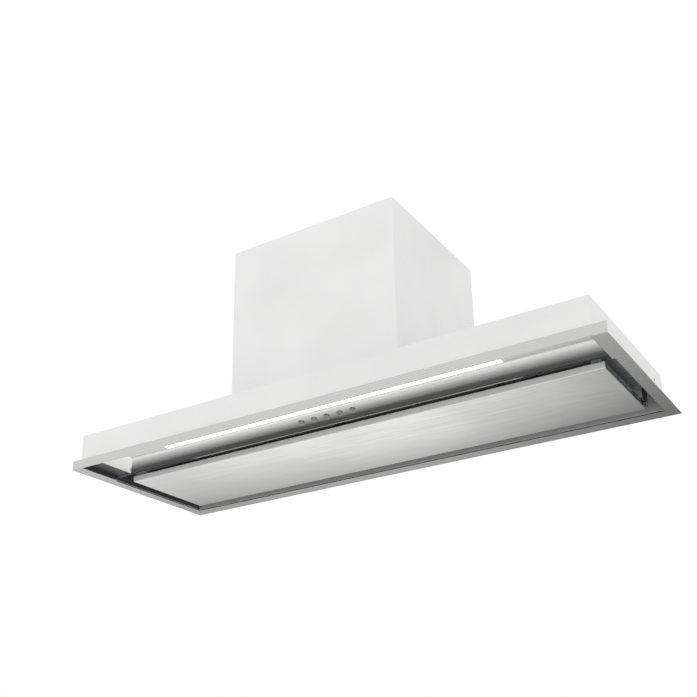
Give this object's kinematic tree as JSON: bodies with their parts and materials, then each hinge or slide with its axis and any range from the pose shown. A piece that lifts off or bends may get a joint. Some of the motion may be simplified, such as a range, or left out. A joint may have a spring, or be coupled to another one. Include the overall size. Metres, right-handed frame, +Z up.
{
  "type": "built-in range hood",
  "caption": "Built-in steel range hood with perimeter suction panel that swings down, front light cove with push buttons, grease filters and a blower in a box housing.",
  "frame": {"origin": "middle of the flange frame's underside", "axes": "+X to the right as the cook sees it, +Y to the wall, +Z up"},
  "size_m": [0.898, 0.32, 0.346],
  "materials": {
    "trim_steel": "brushed",
    "body_coat": "satin",
    "cove_steel": "brushed",
    "bracket_coat": "satin",
    "lamp_white": "frosted",
    "lamp_alloy": "anodised",
    "lamp_board_white": "matte",
    "button_steel": "turned",
    "carrier_plastic": "matte",
    "circuit_board": "satin",
    "switch_plastic": "matte",
    "panel_steel": "brushed",
    "zinc_steel": "galvanised",
    "filter_alloy": "satin",
    "filter_mesh": "mesh",
    "latch_plastic": "matte",
    "housing_coat": "satin",
    "collar_plastic": "matte",
    "axle_steel": "ground",
    "scroll_plastic": "matte",
    "seal_foam": "matte",
    "impeller_plastic": "satin",
    "motor_coat": "satin",
    "capacitor_plastic": "gloss",
    "box_plastic": "matte",
    "gland_plastic": "matte",
    "screw_steel": "zinc plated"
  },
  "bodies": {
    "hood": {"trim_frame": "trim_steel", "body_shell": "body_coat", "light_cove": "cove_steel", "cove_bracket_left": "bracket_coat", "cove_bracket_right": "bracket_coat", "lamp_diffuser": "lamp_white", "lamp_channel": "lamp_alloy", "lamp_board": "lamp_board_white", "control_carrier": "carrier_plastic", "control_board": "circuit_board", "power_board": "circuit_board", "control_switches": "switch_plastic", "hinge_bracket_left": "zinc_steel", "hinge_bracket_right": "zinc_steel", "catch_springs": "zinc_steel", "filter_deck": "zinc_steel", "deck_wall": "zinc_steel", "filter_rail_front": "zinc_steel", "filter_rail_rear": "zinc_steel", "capacitor_clip": "zinc_steel", "motor_spider": "zinc_steel", "filter_frame_left": "filter_alloy", "filter_frame_centre": "filter_alloy", "filter_frame_right": "filter_alloy", "filter_mesh_left": "filter_mesh", "filter_mesh_centre": "filter_mesh", "filter_mesh_right": "filter_mesh", "motor_housing": "housing_coat", "rear_cover": "housing_coat", "outlet_collar": "collar_plastic", "flap_axle": "axle_steel", "scroll_left": "scroll_plastic", "scroll_right": "scroll_plastic", "outlet_seal": "seal_foam", "motor_can": "motor_coat", "capacitor": "capacitor_plastic", "electronics_box": "box_plastic", "electronics_lid": "box_plastic", "lamp_driver": "box_plastic", "mains_gland": "gland_plastic", "housing_screws": "screw_steel", "collar_screws": "screw_steel", "cover_screws": "screw_steel"},
    "panel": {"suction_panel": "panel_steel", "panel_stiffener": "zinc_steel", "panel_hinge_pins": "zinc_steel", "panel_catches": "zinc_steel"},
    "impeller": {"impeller": "impeller_plastic", "motor_shaft": "axle_steel"},
    "flap_front": {"flap_front": "collar_plastic"},
    "flap_rear": {"flap_rear": "collar_plastic"},
    "button_1": {"button_1": "button_steel"},
    "button_2": {"button_2": "button_steel"},
    "button_3": {"button_3": "button_steel"},
    "button_4": {"button_4": "button_steel"},
    "button_5": {"button_5": "button_steel"},
    "latch_left": {"filter_latch_left": "latch_plastic"},
    "latch_centre": {"filter_latch_centre": "latch_plastic"},
    "latch_right": {"filter_latch_right": "latch_plastic"}
  },
  "joints": [
    {"name": "panel_swing", "type": "hinge", "parent": "hood", "child": "panel", "pos_m": [0, 0.107, 0.0054], "axis": [1, 0, 0], "range_deg": [0, 88]},
    {"name": "button_1_press", "type": "slide", "parent": "hood", "child": "button_1", "axis": [0, 0.5403, 0.8415], "range_m": [0, 0.0008], "stiffness_N_per_m": 600},
    {"name": "button_2_press", "type": "slide", "parent": "hood", "child": "button_2", "axis": [0, 0.5403, 0.8415], "range_m": [0, 0.0008], "stiffness_N_per_m": 600},
    {"name": "button_3_press", "type": "slide", "parent": "hood", "child": "button_3", "axis": [0, 0.5403, 0.8415], "range_m": [0, 0.0008], "stiffness_N_per_m": 600},
    {"name": "button_4_press", "type": "slide", "parent": "hood", "child": "button_4", "axis": [0, 0.5403, 0.8415], "range_m": [0, 0.0008], "stiffness_N_per_m": 600},
    {"name": "button_5_press", "type": "slide", "parent": "hood", "child": "button_5", "axis": [0, 0.5403, 0.8415], "range_m": [0, 0.0008], "stiffness_N_per_m": 600},
    {"name": "impeller_spin", "type": "hinge", "parent": "hood", "child": "impeller", "pos_m": [0, -0.03, 0.174], "axis": [1, 0, 0], "continuous": true},
    {"name": "flap_rear_lift", "type": "hinge", "parent": "hood", "child": "flap_rear", "pos_m": [0, 0.0285, 0.3311], "axis": [1, 0, 0], "range_deg": [0, 80]},
    {"name": "flap_front_lift", "type": "hinge", "parent": "hood", "child": "flap_front", "pos_m": [0, 0.0285, 0.3311], "axis": [-1, 0, 0], "range_deg": [0, 80]},
    {"name": "latch_left_slide", "type": "slide", "parent": "hood", "child": "latch_left", "axis": [0, 1, 0], "range_m": [0, 0.005], "stiffness_N_per_m": 200},
    {"name": "latch_centre_slide", "type": "slide", "parent": "hood", "child": "latch_centre", "axis": [0, 1, 0], "range_m": [0, 0.005], "stiffness_N_per_m": 200},
    {"name": "latch_right_slide", "type": "slide", "parent": "hood", "child": "latch_right", "axis": [0, 1, 0], "range_m": [0, 0.005], "stiffness_N_per_m": 200}
  ]
}
